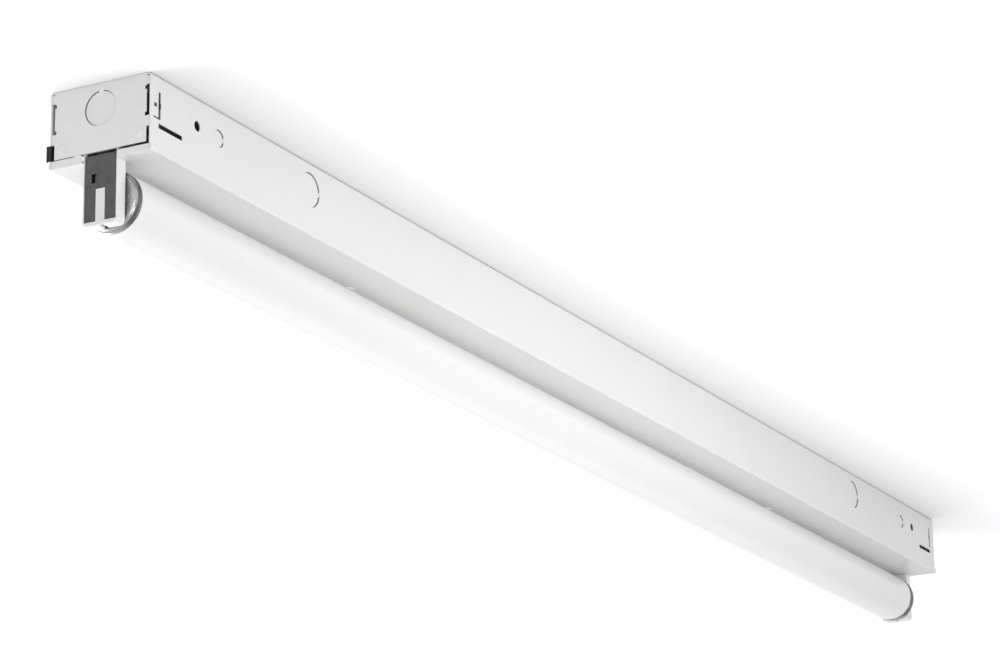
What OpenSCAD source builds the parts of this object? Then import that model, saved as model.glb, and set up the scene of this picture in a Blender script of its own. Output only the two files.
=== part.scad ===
// Single-lamp fluorescent strip fixture, surface mounted on a ceiling.
// Origin: centre of the back face. +X along the lamp, +Z up into the ceiling.
// Left is -X, right is +X. Lengths in millimetres.

/* [Metalwork] */
// Overall length of the fixture
fixture_l = 1219.2; // [1000:0.1:2440]
// Width of the housing channel, outside
channel_w = 69.85; // [64:0.05:110]
// Depth from the back face to the underside of the cover
body_h = 47.6; // [46:0.1:80]
// Thickness of the formed steel sheet
sheet_t = 0.8; // [0.6:0.1:1]
// Outside radius of the two long bends of the housing
bend_r = 1.6; // [1.1:0.1:3]
// Width of the lips turned in at the bottom of the side walls
lip_w = 6.4; // [5.8:0.1:9]
// Length over which the lips are cut away at each end
lip_setback = 14; // [11:0.5:30]

/* [Side wall openings] */
// Distance from the fixture end to the upright ear slit
ear_slit_x = 9.6; // [9:0.1:14]
// Width of the ear slit
ear_slit_w = 2.4; // [1.8:0.1:3]
// Distance from the back face to the top of the ear slit
ear_slit_top = 9.5; // [5:0.1:12]
// Height of the ear slit
ear_slit_h = 17; // [10:0.1:20]
// Length of the level foot at the bottom of the ear slit
slit_foot_l = 4.9; // [2:0.1:5.5]
// Height of the foot
slit_foot_h = 1; // [0.6:0.1:2]
// Distance from the fixture end to the small slot beside the ear slit
side_slot_x = 5.6; // [4.5:0.1:6]
// Length of the small slot
side_slot_l = 3.4; // [1.5:0.1:4]
// Height of the small slot
side_slot_h = 2.6; // [1.5:0.1:5]
// Depth of the small slot below the back face
side_slot_z = 18.3; // [15:0.1:20]
// Distance from the fixture end to the start of the long slit
coupler_slit_x = 8.7; // [5:0.1:16]
// Length of the long slit
coupler_slit_l = 25; // [12:0.5:30]
// Height of the long slit
coupler_slit_h = 3; // [1:0.1:3.4]
// Depth of the long slit below the back face
coupler_slit_z = 30.4; // [29:0.1:33]
// Diameter of the open side holes
side_hole_d = 6.4; // [4:0.1:9]
// Distance from the fixture end to the side holes
side_hole_x = 49.4; // [42:0.1:60]
// Depth of the side holes and knock-outs below the back face
side_row_z = 17.4; // [14:0.1:24]
// Diameter of the small side knock-outs
small_ko_d = 11; // [8:0.1:14]
// Distance from the fixture end to the small side knock-outs
small_ko_x = 73.4; // [68:0.1:90]
// Diameter of the conduit knock-outs
conduit_ko_d = 22.2; // [16:0.1:24]
// Distance from the fixture end to the conduit knock-outs in the side walls
side_ko_x = 178; // [150:0.5:200]
// Gap round a knock-out
ko_gap = 0.35; // [0.2:0.05:0.6]
// Width of the two bridges that hold a knock-out
ko_bridge_w = 3; // [2:0.1:5]
// Distance by which a knock-out is pushed in
ko_inset = 1.1; // [0.9:0.1:1.4]

/* [Back openings] */
// Diameter of the ceiling screw holes in the back
ceiling_hole_d = 7.1; // [4:0.1:10]
// Distance from the fixture end to the ceiling screw holes
ceiling_hole_x = 50.8; // [40:0.1:100]
// Distance from the centre to the inner knock-outs in the back
back_ko_x = 228.6; // [190:0.1:280]
// Distance from one back knock-out to the next
back_ko_step = 228.6; // [60:0.1:240]

/* [End plates] */
// Gap at each side of an end plate
plate_gap = 0.2; // [0.1:0.1:0.4]
// Height of the open strip below an end plate
plate_bottom_gap = 5.6; // [5.5:0.1:7]
// Length of the flange that carries an end plate under the back
plate_flange_l = 12; // [6:0.5:20]
// Depth of the end knock-out below the back face
end_ko_z = 15.4; // [14:0.1:19]
// Clearance of the ear in its slit
ear_clear = 0.3; // [0.1:0.1:0.5]
// Length of the ear tip outside the side wall
ear_tip_out = 0.3; // [0.1:0.1:1.5]
// Height of the hook at the end of the ear
ear_hook_h = 3; // [2:0.1:8]
// Distance from the side wall to the root of the ear
ear_root_in = 6; // [3:0.1:8]
// Distance that the ear runs back before it turns to the side wall
ear_root_x = 6.2; // [3:0.1:7]
// Width of the open groove between the end plate and the side wall beside an ear
ear_groove_w = 2.2; // [0.8:0.1:3]
// Distance that the groove runs on above the ear
ear_groove_up = 2.9; // [1:0.1:4]
// Width of the relief notches at the ends of the groove
relief_w = 3.3; // [2.4:0.1:4]
// Height of the relief notches
relief_h = 2.3; // [1:0.1:3]
// Diameter of the low embossed pads on the end plates
pad_d = 5; // [3:0.1:7]
// Height of the embossed pads
pad_h = 0.3; // [0.2:0.1:0.5]
// Distance from the outside of the side wall to the embossed pads
pad_inset = 9.7; // [8:0.1:14]
// Depth of the embossed pads below the back face
pad_z = 20.4; // [14:0.1:26]

/* [Corner clips and notches] */
// Height of a corner clip
corner_clip_h = 9.6; // [6:0.1:9.8]
// Depth of the middle of a corner clip below the back face
corner_clip_z = 37.6; // [37:0.1:38]
// Thickness of a corner clip
corner_clip_t = 0.5; // [0.3:0.1:0.6]
// Length of the leg of a corner clip on the inside of the side wall
corner_clip_leg = 6; // [3:0.5:7]
// Distance that a corner clip stands out from the side wall
corner_clip_out = 2.2; // [1:0.1:4]
// Length of the lip that is turned back at the outer edge of a corner clip
corner_clip_lip = 0.8; // [0.5:0.1:2]
// Width of the open notches at the lower corners of an end plate
corner_gap_w = 2.2; // [0.8:0.1:2.4]

/* [Cover] */
// Height of the cover flanges outside the side walls
cover_flange_h = 3.8; // [2.5:0.1:8]
// Gap between a cover flange and the side wall
cover_gap = 0.1; // [0.05:0.05:0.4]
// Height of the lips turned up at the ends of the cover on the -Y side of the lampholders
cover_end_lip_h = 4; // [3:0.1:5]
// Height of the end lips on the +Y side
cover_end_lip_high = 5; // [3:0.1:5.1]
// Clearance of the cover round a lampholder
holder_notch_clear = 0.4; // [0.2:0.1:1]

/* [Cover latches] */
// Distance from the centre to a cover latch
latch_x = 330; // [310:1:360]
// Diameter of the latch head
latch_head_d = 11; // [9:0.1:16]
// Thickness of the latch head
latch_head_t = 1.4; // [1:0.1:1.8]
// Width of the screwdriver slot in the latch head
latch_slot_w = 1.2; // [0.8:0.1:2]
// Depth of the screwdriver slot
latch_slot_h = 0.8; // [0.4:0.1:0.9]
// Diameter of the latch stem
latch_stem_d = 6.4; // [4:0.1:7]
// Length of the latch blade
latch_blade_l = 14; // [11:0.1:18]
// Width of the latch blade
latch_blade_w = 4.2; // [3:0.1:6]
// Thickness of the latch blade
latch_blade_t = 1.4; // [1:0.1:2]
// Diameter of the retaining washer
latch_washer_d = 10; // [8:0.1:14]
// Thickness of the retaining washer
latch_washer_t = 0.6; // [0.4:0.1:1]
// Running clearance of a latch
latch_clear = 0.08; // [0.03:0.01:0.1]
// Width of the cross strap that a latch locks on
strap_w = 20; // [19:0.5:30]
// Height of the cross strap above the cover
strap_lift = 5; // [4.4:0.1:6]
// Height of the flanges at the ends of the strap
strap_flange_h = 8; // [5:0.5:12]
// Clearance of the blade in the strap opening
strap_slot_clear = 0.5; // [0.3:0.1:1]

/* [Lamp] */
// Diameter of the lamp
lamp_d = 38.1; // [34:0.1:39]
// Distance from the fixture end to the face of the lamp cap
lamp_end_gap = 9.9; // [9.5:0.1:12]
// Gap between the cover and the lamp
lamp_gap = 2.5; // [2.2:0.1:8]
// Wall of the glass tube
glass_t = 0.9; // [0.7:0.1:1.2]
// Length of a metal end cap
cap_l = 7.5; // [6.5:0.1:14]
// Wall of an end cap
cap_t = 0.4; // [0.3:0.1:0.6]
// Radius of the rounded shoulder of an end cap
cap_shoulder_r = 2.6; // [1.5:0.1:4]
// How much smaller the cap is than the tube, on the radius
cap_step = 0.25; // [0.1:0.05:0.6]
// Diameter of the insulating disc that holds the pins
pin_disc_d = 20; // [18:0.1:26]
// Thickness of the insulating disc
pin_disc_t = 2; // [1.5:0.1:3]
// Diameter of a lamp pin
pin_d = 2.35; // [2.2:0.01:2.5]
// Length of a lamp pin outside its cap
pin_l = 7.1; // [6:0.1:7.3]
// Distance between the two pins
pin_pitch = 12.7; // [12:0.1:13]
// Depth of the glass stem inside the tube
stem_l = 34; // [20:1:50]
// Diameter of the stem tube
stem_d = 10; // [8:0.1:14]
// Length of the flat press at the inner end of the stem
press_l = 9; // [5:0.5:15]
// Thickness of the press
press_t = 3; // [2:0.1:4]
// Distance from the press to the cathode coil
cathode_out = 12; // [8:0.5:16]
// Diameter of the cathode support wires
cathode_wire_d = 0.8; // [0.5:0.1:1]
// Diameter of the cathode coil
cathode_coil_d = 1.4; // [1.1:0.1:2]

/* [Lampholders] */
// Width of a lampholder
holder_w = 23.9; // [21.5:0.1:26]
// Thickness of a lampholder along the lamp
holder_t = 8.3; // [8.1:0.1:8.5]
// Height of a lampholder below the cover
holder_drop = 39; // [34:0.1:44]
// Radius of the lower corners of a lampholder
holder_corner_r = 3; // [1:0.1:4]
// Gap between a lampholder and the end plate in front of its top
holder_gap = 0.4; // [0.3:0.1:0.5]
// Height by which a lampholder reaches up behind the end plate
holder_tuck = 1.6; // [1:0.1:2]
// Thickness of the lampholder face next to the lamp
holder_face_t = 2.4; // [1.6:0.1:2.8]
// Thickness of the side and top walls of a lampholder
holder_wall = 0.8; // [0.6:0.1:1.5]
// Height of the bottom rim of a lampholder
holder_rim_h = 2.2; // [1.5:0.1:4]
// Width of the rib at the back of a lampholder
holder_rib_w = 6.2; // [4:0.1:7]
// Thickness of the rib
holder_rib_t = 1; // [0.9:0.1:1.1]
// Setback of the rib from the back of the lampholder
holder_rib_x = 0.3; // [0:0.1:0.4]
// Clearance round the turning pins
pin_track_clear = 0.45; // [0.3:0.05:0.5]
// Width of the neck inside the channel
neck_w = 18; // [17:0.1:19]
// Height of the neck above the lampholder body
neck_h = 11; // [9:0.1:11.3]
// Depth of the grooves in the sides of the neck
groove_d = 1.2; // [0.8:0.1:1.5]
// Clearance of the bracket in the grooves
groove_clear = 0.1; // [0.05:0.05:0.3]
// Distance from the lamp side of a lampholder to its grooves
groove_inset = 0.9; // [0.6:0.1:1.1]
// Setback of the dark contact carrier from the back of the lampholder
carrier_x = 0.6; // [0.5:0.1:0.7]
// Thickness of the back plate of the contact carrier
carrier_t = 0.5; // [0.4:0.1:0.5]
// Height of the step along the top of the carrier
carrier_step_h = 2.1; // [1:0.1:4]
// Depth of the step behind the back plate of the carrier
carrier_step_d = 1.4; // [0.6:0.1:1.4]
// Clearance of the carrier in the lampholder
carrier_clear = 0.1; // [0.05:0.05:0.2]
// Height of the terminal boss on the carrier
terminal_h = 0.3; // [0.2:0.1:0.4]
// Width and height of the terminal boss
terminal_w = 9.5; // [6:0.1:10]
// Distance from the cover to the top of the terminal boss
terminal_drop = 5.5; // [4:0.1:8]
// Thickness of a contact strip
contact_t = 0.4; // [0.3:0.05:0.5]
// Width of a contact strip along the lamp
contact_w = 3; // [2:0.1:3.2]
// Gap between a contact strip and the path of the pin
contact_gap = 0.15; // [0.1:0.05:0.3]
// Distance that a contact strip reaches below the lamp axis
contact_tail = 6.5; // [4:0.1:8]

/* [Lampholder brackets] */
// Thickness of the bracket
bracket_t = 1; // [0.8:0.1:1.2]
// Height of the bracket above the neck
bracket_bar = 2; // [1:0.1:2.2]
// Distance from the neck to the side of the bracket
bracket_arm = 8; // [5:0.1:9]
// Distance from the outside of the side wall to the bracket rivets
rivet_inset = 7.4; // [6.9:0.1:9.4]
// Depth of the rivets below the back face
rivet_z = 35.7; // [34.5:0.1:37]
// Diameter of a rivet shank
rivet_d = 3.2; // [2.4:0.1:3.6]
// Diameter of a rivet head
rivet_head_d = 5; // [4.2:0.1:6]
// Thickness of a rivet head
rivet_head_t = 0.5; // [0.3:0.1:0.8]

/* [Ballast] */
// Length of a ballast ear outside the case
ballast_ear_l = 15.65; // [12:0.05:20]
// Length of the ballast case
ballast_case_l = 210; // [190:1:213]
// Width of the ballast
ballast_w = 60.5; // [54:0.1:62]
// Height of the ballast case
ballast_h = 37; // [34:0.1:39]
// Thickness of the ballast base
ballast_base_t = 1.2; // [0.8:0.1:1.5]
// Wall of the ballast case
ballast_wall = 0.8; // [0.6:0.1:1.2]
// Distance from the end of the ballast case to the stud in its ear
ballast_stud_out = 8.1; // [7.5:0.1:9]
// Diameter of the ballast studs
stud_d = 4.2; // [3.5:0.1:5]
// Length of the ballast studs
stud_l = 9; // [7:0.5:14]
// Width across the flats of the ballast nuts
nut_af = 8; // [7:0.1:10]
// Thickness of the ballast nuts
nut_t = 3.2; // [2.5:0.1:4]
// Length of the laminated core
core_l = 96; // [80:1:100]
// Width of the laminated core
core_w = 48; // [44:1:52]
// Height of the laminated core
core_h = 24; // [20:1:26]
// Width of the outer legs of the core
core_leg = 9; // [6:0.5:10]
// Height by which the coils stand out above and below the core
coil_out = 4; // [2:0.1:4.5]
// Diameter of the capacitor in the ballast
cap_can_d = 30; // [24:0.5:33]
// Length of the capacitor
cap_can_l = 60; // [40:1:66]
// Diameter of the lead hole in each end of the ballast
ballast_hole_d = 13; // [11:0.1:14]
// Height of the lead hole above the ballast cover
ballast_hole_up = 9; // [8:0.1:12]
// Thickness of the grommet flange
grommet_t = 1; // [0.8:0.1:1.2]

/* [Leads] */
// Diameter of a lead over its insulation
lead_d = 2.4; // [2:0.1:2.5]
// Gap between two leads that run side by side
lead_gap = 0.05; // [0.05:0.01:0.15]
// Rest gap between a lead and what it lies on
lead_rest = 0.05; // [0.02:0.01:0.1]
// Length of a lead clip
clip_l = 10; // [6:0.5:16]
// Thickness of a lead clip
clip_t = 0.5; // [0.3:0.1:0.6]
// Height of the clip leg on the side wall
clip_leg_h = 6; // [3:0.5:10]
// Distance from the centre to the first lead clip
clip_x = 220; // [190:1:280]
// Distance from one lead clip to the next
clip_step = 230; // [150:1:240]
// Diameter of the open end of a wire connector
connector_d = 10; // [8:0.1:11]
// Length of a wire connector
connector_l = 22; // [16:0.5:26]
// Distance from the centre to the wire connectors
connector_x = 262; // [240:1:268]

/* [Ground screw] */
// Distance from the centre to the ground screw
ground_x = 180; // [160:1:190]
// Diameter of the ground screw
ground_d = 4; // [3:0.1:5]
// Width across the flats of the ground screw head
ground_af = 8; // [7:0.1:10]
// Thickness of the ground screw head
ground_head_t = 3; // [2:0.1:4]
// Height of the extruded collar that the ground screw holds in
collar_h = 3; // [2:0.1:5]

/* [Hidden] */
$fn = 48;

half_l = fixture_l/2;
half_w = channel_w/2;
// Inner faces of the housing
inner_y = half_w - sheet_t;
inner_top = -sheet_t;
// Upper face of the cover, and upper face of the housing lips
cover_top = -body_h + sheet_t;
lip_top = cover_top + sheet_t;
// Lower edge of the end plates
plate_bottom = -body_h + plate_bottom_gap;
plate_half_w = inner_y - plate_gap;
pad_y = half_w - pad_inset;
corner_clip_clear = 0.1;
// Lamp axis and the radii of the ring that the pins turn in
axis_z = -body_h - lamp_gap - lamp_d/2;
lamp_r = lamp_d/2;
cap_face = half_l - lamp_end_gap;
cap_r = lamp_r - cap_step;
neck_r = cap_r - cap_t - 0.1;
neck_taper = 1.5;
tube_end = cap_face - cap_t - pin_disc_t - 0.2;
pin_r = pin_d/2;
pin_orbit = pin_pitch/2;
track_out = pin_orbit + pin_r + pin_track_clear;
track_in = pin_orbit - pin_r - pin_track_clear;
slot_half = pin_r + pin_track_clear;
// Lampholder, measured from the end of the fixture inwards
holder_back = sheet_t + holder_gap;
holder_front = holder_back + holder_t;
holder_top = plate_bottom + holder_tuck;
holder_bottom = -body_h - holder_drop;
holder_cavity_x = holder_front - holder_face_t;
holder_half_w = holder_w/2;
cavity_half_w = holder_half_w - holder_wall;
cavity_top = holder_top - holder_wall;
cavity_bottom = holder_bottom + holder_rim_h;
rib_back = holder_back + holder_rib_x;
rib_front = rib_back + holder_rib_t;
rib_top = axis_z + track_in - 0.1;
carrier_back = holder_back + carrier_x;
carrier_front = carrier_back + carrier_t;
island_x = carrier_front + carrier_clear;
neck_top = holder_top + neck_h;
groove_low = holder_top + 0.7;
groove_x = holder_front - groove_inset - bracket_t;
groove_half = neck_w/2 - groove_d;
// Contacts and the wire passages above them
contact_y = pin_orbit + pin_r + contact_gap;
contact_x = holder_cavity_x - contact_w - 0.3;
contact_mid_x = contact_x + contact_w/2;
contact_top = cavity_top - carrier_clear - contact_t;
passage_y = contact_y + contact_t - lead_d/2 - 1;
passage_r = lead_d/2 + 0.2;
// Bracket
rivet_y = half_w - rivet_inset;
bracket_side_y = neck_w/2 + bracket_arm;
bracket_foot_y = rivet_y + rivet_head_d/2 + 1;
bracket_bottom = groove_low + 0.3;
bracket_top = neck_top + groove_clear + bracket_bar;
rivet_clear = 0.05;
// Latch heights
strap_bottom = cover_top + strap_lift;
strap_top = strap_bottom + sheet_t;
latch_head_top = -body_h - latch_clear;
blade_bottom = strap_top + latch_clear;
// Ballast heights
base_bottom = inner_top - ballast_base_t;
case_bottom = base_bottom - ballast_h;
ballast_hole_z = case_bottom + ballast_hole_up;
case_end = ballast_case_l/2;
base_end = case_end + ballast_ear_l;
stud_x = case_end + ballast_stud_out;
core_z = (base_bottom + case_bottom)/2;
grommet_r = ballast_hole_d/2 - 0.1;
coil_window = (core_l - 3*core_leg)/2;
// Leads: the pair of tracks on a lip
lead_r = lead_d/2;
track_z = lip_top + lead_r + lead_rest;
track_y = [inner_y - lead_r - lead_rest, inner_y - 3*lead_r - lead_rest - lead_gap];
lead_bend = 12;
lead_sides = 8;
lead_steps = 4;

// Shared shapes

// Copies its children to the other end of the fixture
module at_end(side) {
  if (side > 0) mirror([1, 0, 0]) children();
  else children();
}

// Turns an outline drawn in Y and Z, and gives it a length along +X
module along_x(length) {
  rotate([90, 0, 90]) linear_extrude(length) children();
}

module rod_x(r, length) {
  rotate([0, 90, 0]) cylinder(r = r, h = length);
}

// Box between two corners
module block(low, high) {
  translate(low) cube(high - low);
}

// Outline of a sheet folded into a tray that opens downwards
module tray_outline(w, h, r) {
  translate([-w/2 + r, -h]) square([w - 2*r, h]);
  translate([-w/2, -h]) square([w, h - r]);
  for (side = [-1, 1]) translate([side*(w/2 - r), -r]) circle(r);
}

// Hole of a knock-out in a sheet whose outer face lies at Z = 0
module knock_out_hole(d) {
  cylinder(d = d, h = 4*sheet_t, center = true);
}

// Disc of a knock-out, pushed in and held by two bridges on a line at the given angle
module knock_out_disc(d, turn) {
  low = -ko_inset - sheet_t;
  rotate([0, 0, turn]) {
    translate([0, 0, low]) cylinder(d = d - 2*ko_gap, h = sheet_t);
    for (side = [0, 1]) mirror([side, 0, 0])
      block([d/2 - ko_gap - sheet_t, -ko_bridge_w/2, low], [d/2 + sheet_t/2, ko_bridge_w/2, -sheet_t/2]);
  }
}

// Hexagonal prism with its axis along Z
module hex(af, h) {
  cylinder(d = af/cos(30), h = h, $fn = 6);
}

// Leads: a tube swept along hand-chosen corners with rounded bends
function unit(v) = v/norm(v);
function reach(a, b) = min(lead_bend, 0.45*norm(b - a));
function bend_points(a, b, c) =
  let (p = b + unit(a - b)*reach(a, b), q = b + unit(c - b)*reach(b, c))
  [for (i = [0:lead_steps]) let (t = i/lead_steps) (1 - t)*(1 - t)*p + 2*t*(1 - t)*b + t*t*q];
function route(corners) = concat(
  [corners[0]],
  [for (i = [1:len(corners) - 2]) each bend_points(corners[i - 1], corners[i], corners[i + 1])],
  [corners[len(corners) - 1]]
);
function heading(path, i) = unit(path[min(i + 1, len(path) - 1)] - path[max(i - 1, 0)]);
function square_to(v, d) = unit(v - d*(v*d));
function side_vectors(path) = [
  for (i = 0, v = square_to([0.31, 0.42, 0.85], heading(path, 0)); i < len(path);
       i = i + 1, v = square_to(v, heading(path, min(i, len(path) - 1)))) v
];

module lead(corners, r) {
  path = route(corners);
  sides = side_vectors(path);
  n = lead_sides;
  rings = len(path);
  points = [
    for (i = [0:rings - 1]) let (d = heading(path, i), u = sides[i], v = cross(d, u))
      for (k = [0:n - 1]) path[i] + r*(u*cos(360*k/n) + v*sin(360*k/n))
  ];
  walls = [
    for (i = [0:rings - 2], k = [0:n - 1]) let (a = i*n + k, b = i*n + (k + 1)%n)
      each [[a, a + n, b], [b, a + n, b + n]]
  ];
  ends = [[for (k = [0:n - 1]) k], [for (k = [n - 1:-1:0]) (rings - 1)*n + k]];
  polyhedron(points = points, faces = concat(walls, ends));
}

// Metalwork

// Puts its children on the outside of both side walls near both ends, with their Z axis outwards
module on_side_walls(distance) {
  for (end = [-1, 1], side = [-1, 1]) translate([end*(half_l - distance), side*half_w, -side_row_z])
    rotate([-90*side, 0, 0]) children();
}

// Puts its children on the back, with their Z axis outwards
module on_back() {
  for (end = [-1, 1], i = [0, 1]) translate([end*(back_ko_x + i*back_ko_step), 0, 0]) children();
}

module side_openings() {
  on_side_walls(side_hole_x) cylinder(d = side_hole_d, h = 4*sheet_t, center = true);
  on_side_walls(small_ko_x) knock_out_hole(small_ko_d);
  on_side_walls(side_ko_x) knock_out_hole(conduit_ko_d);
  for (end = [-1, 1], side = [-1, 1]) {
    wall_y = side*(half_w - sheet_t/2);
    x_of = function(distance) end*(half_l - distance);
    slit_bottom = -ear_slit_top - ear_slit_h;
    translate([x_of(ear_slit_x), wall_y, -ear_slit_top - ear_slit_h/2])
      cube([ear_slit_w, 4*sheet_t, ear_slit_h], center = true);
    translate([x_of(coupler_slit_x + coupler_slit_l/2), wall_y, -coupler_slit_z])
      cube([coupler_slit_l, 4*sheet_t, coupler_slit_h], center = true);
    translate([x_of(ear_slit_x - ear_slit_w/2 - slit_foot_l/2), wall_y, slit_bottom + slit_foot_h/2])
      cube([slit_foot_l + 0.4, 4*sheet_t, slit_foot_h], center = true);
    translate([x_of(side_slot_x), wall_y, -side_slot_z])
      cube([side_slot_l, 4*sheet_t, side_slot_h], center = true);
  }
}

module back_openings() {
  for (end = [-1, 1]) translate([end*(half_l - ceiling_hole_x), 0, -sheet_t/2])
    cylinder(d = ceiling_hole_d, h = 4*sheet_t, center = true);
  on_back() knock_out_hole(conduit_ko_d);
  translate([-ground_x, 0, -collar_h - 2*sheet_t])
    cylinder(d = ground_d + 0.2, h = collar_h + 4*sheet_t);
}

module housing_channel() {
  color("white") {
    on_side_walls(small_ko_x) knock_out_disc(small_ko_d, 0);
    on_side_walls(side_ko_x) knock_out_disc(conduit_ko_d, 0);
    on_back() knock_out_disc(conduit_ko_d, 90);
    housing_shell();
  }
}

// Folded sheet with its lips, its screw collar and all its openings
module housing_shell() {
  difference() {
    union() {
      translate([-half_l, 0, 0]) along_x(fixture_l) difference() {
        tray_outline(channel_w, -cover_top, bend_r);
        translate([0, inner_top]) tray_outline(2*inner_y, body_h, bend_r - sheet_t);
      }
      for (side = [-1, 1]) translate([0, side*(half_w - lip_w/2 - sheet_t/2), cover_top + sheet_t/2])
        cube([fixture_l - 2*lip_setback, lip_w - sheet_t + 0.4, sheet_t], center = true);
      translate([-ground_x, 0, inner_top - collar_h])
        cylinder(d = ground_d + 2.4, h = collar_h + sheet_t/2);
    }
    side_openings();
    back_openings();
  }
}

module end_plate() {
  // The top corners stop below the inside of the housing bends
  corner_z = inner_top - bend_r + sheet_t;
  ear_top = -ear_slit_top - ear_clear;
  ear_bottom = -ear_slit_top - ear_slit_h + ear_clear;
  ear_in = inner_y - ear_root_in;
  hook_z = (ear_top + ear_bottom)/2;
  tip_half = ear_slit_w/2 - ear_clear;
  clip_high = -corner_clip_z + corner_clip_h/2 + corner_clip_clear;
  color("whitesmoke") translate([-half_l, 0, 0]) {
    difference() {
      union() {
        block([0, -plate_half_w, plate_bottom], [sheet_t, plate_half_w, corner_z]);
        block([0, -plate_half_w + bend_r, plate_bottom], [sheet_t, plate_half_w - bend_r, inner_top]);
        block([0, -plate_half_w + bend_r, inner_top - sheet_t],
          [sheet_t + plate_flange_l, plate_half_w - bend_r, inner_top]);
        for (side = [-1, 1]) translate([-pad_h, side*pad_y, -pad_z]) rod_x(pad_d/2, pad_h + sheet_t/2);
      }
      translate([0, 0, -end_ko_z]) rotate([0, -90, 0]) knock_out_hole(conduit_ko_d);
      for (side = [-1, 1]) translate([-sheet_t, side*rivet_y, -rivet_z])
        rod_x(rivet_d/2 + rivet_clear, 3*sheet_t);
      for (side = [0, 1]) mirror([0, side, 0]) {
        block([-1, inner_y - ear_groove_w, ear_bottom], [sheet_t + 1, half_w, ear_top + ear_groove_up]);
        for (low = [ear_bottom, ear_top])
          block([-1, inner_y - relief_w, low], [sheet_t + 1, half_w, low + relief_h]);
        block([-1, inner_y - corner_gap_w, plate_bottom - 1], [sheet_t + 1, half_w, clip_high]);
      }
    }
    translate([0, 0, -end_ko_z]) rotate([0, -90, 0]) knock_out_disc(conduit_ko_d, 0);
    // Ears that run back behind the plate, turn to the side walls and hook out through the upright slits
    for (side = [0, 1]) mirror([0, side, 0]) {
      block([sheet_t/2, ear_in, ear_bottom], [ear_root_x + sheet_t, ear_in + sheet_t, ear_top]);
      block([ear_root_x, ear_in, ear_bottom], [ear_root_x + sheet_t, inner_y, ear_top]);
      block([ear_root_x, inner_y - sheet_t, hook_z - ear_hook_h/2],
        [ear_slit_x + tip_half, inner_y, hook_z + ear_hook_h/2]);
      block([ear_slit_x + tip_half - sheet_t, inner_y - sheet_t, hook_z - ear_hook_h/2],
        [ear_slit_x + tip_half, half_w + ear_tip_out, hook_z + ear_hook_h/2]);
    }
  }
}

// Dark spring clip pushed over the end of the side wall, beside a lower corner of the end plate
module corner_clip() {
  low = -corner_clip_z - corner_clip_h/2;
  high = -corner_clip_z + corner_clip_h/2;
  outer = half_w + corner_clip_out;
  color("black") translate([-half_l, 0, 0]) {
    block([-corner_clip_t, inner_y - corner_clip_t, low], [corner_clip_leg, inner_y, high]);
    block([-corner_clip_t, inner_y - corner_clip_t, low], [0, outer, high]);
    block([-corner_clip_t, outer - corner_clip_t, low], [corner_clip_lip, outer, high]);
  }
}

module channel_cover() {
  flange_out = half_w + cover_gap + sheet_t;
  notch_half = holder_half_w + holder_notch_clear;
  notch_x = holder_front + holder_notch_clear;
  color("white") difference() {
    union() {
      block([-half_l, -flange_out, -body_h], [half_l, flange_out, cover_top]);
      for (side = [0, 1]) mirror([0, side, 0])
        block([-half_l, flange_out - sheet_t, -body_h], [half_l, flange_out, -body_h + cover_flange_h]);
      for (end = [0, 1]) mirror([end, 0, 0]) translate([-half_l, 0, -body_h]) {
        block([0, -plate_half_w, 0], [sheet_t, 0, cover_end_lip_h]);
        block([0, -sheet_t, 0], [sheet_t, plate_half_w, cover_end_lip_high]);
      }
    }
    for (end = [0, 1]) mirror([end, 0, 0])
      block([-half_l - 1, -notch_half, -body_h - 1], [-half_l + notch_x, notch_half, 0]);
    for (end = [-1, 1]) translate([end*latch_x, 0, -body_h - 1])
      cylinder(r = latch_stem_d/2 + latch_clear, h = 2 + sheet_t);
  }
}

module latch_strap() {
  slot_y = latch_blade_l + 2*strap_slot_clear;
  slot_x = latch_stem_d + 2*strap_slot_clear;
  flange_top = strap_bottom + strap_flange_h;
  color("silver") translate([-latch_x, 0, 0]) difference() {
    union() {
      block([-strap_w/2, -inner_y, strap_bottom], [strap_w/2, inner_y, strap_top]);
      for (side = [0, 1]) mirror([0, side, 0])
        block([-strap_w/2, inner_y - sheet_t, strap_bottom], [strap_w/2, inner_y, flange_top]);
    }
    block([-slot_x/2, -slot_y/2, strap_bottom - 1], [slot_x/2, slot_y/2, strap_top + 1]);
  }
}

module cover_latch() {
  color("gainsboro") translate([-latch_x, 0, 0]) {
    difference() {
      translate([0, 0, latch_head_top - latch_head_t]) cylinder(d = latch_head_d, h = latch_head_t);
      translate([0, 0, latch_head_top - latch_head_t + latch_slot_h/2 - 0.5])
        cube([2*latch_head_d, latch_slot_w, latch_slot_h + 1], center = true);
    }
    translate([0, 0, latch_head_top - 0.1])
      cylinder(d = latch_stem_d, h = blade_bottom + latch_blade_t - latch_head_top + 0.1);
    translate([0, 0, blade_bottom + latch_blade_t/2])
      cube([latch_blade_l, latch_blade_w, latch_blade_t], center = true);
  }
}

module latch_washer() {
  color("dimgray") translate([-latch_x, 0, cover_top + latch_clear]) difference() {
    cylinder(d = latch_washer_d, h = latch_washer_t);
    translate([0, 0, -1]) cylinder(r = latch_stem_d/2 + 0.03, h = latch_washer_t + 2);
  }
}

// Lampholders

// Outline of the body in Y and Z, with rounded lower corners
module holder_outline() {
  r = holder_corner_r;
  translate([-holder_half_w, holder_bottom + r]) square([holder_w, holder_top - holder_bottom - r]);
  translate([-holder_half_w + r, holder_bottom]) square([holder_w - 2*r, 2*r]);
  for (side = [-1, 1]) translate([side*(holder_half_w - r), holder_bottom + r]) circle(r);
}

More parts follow.
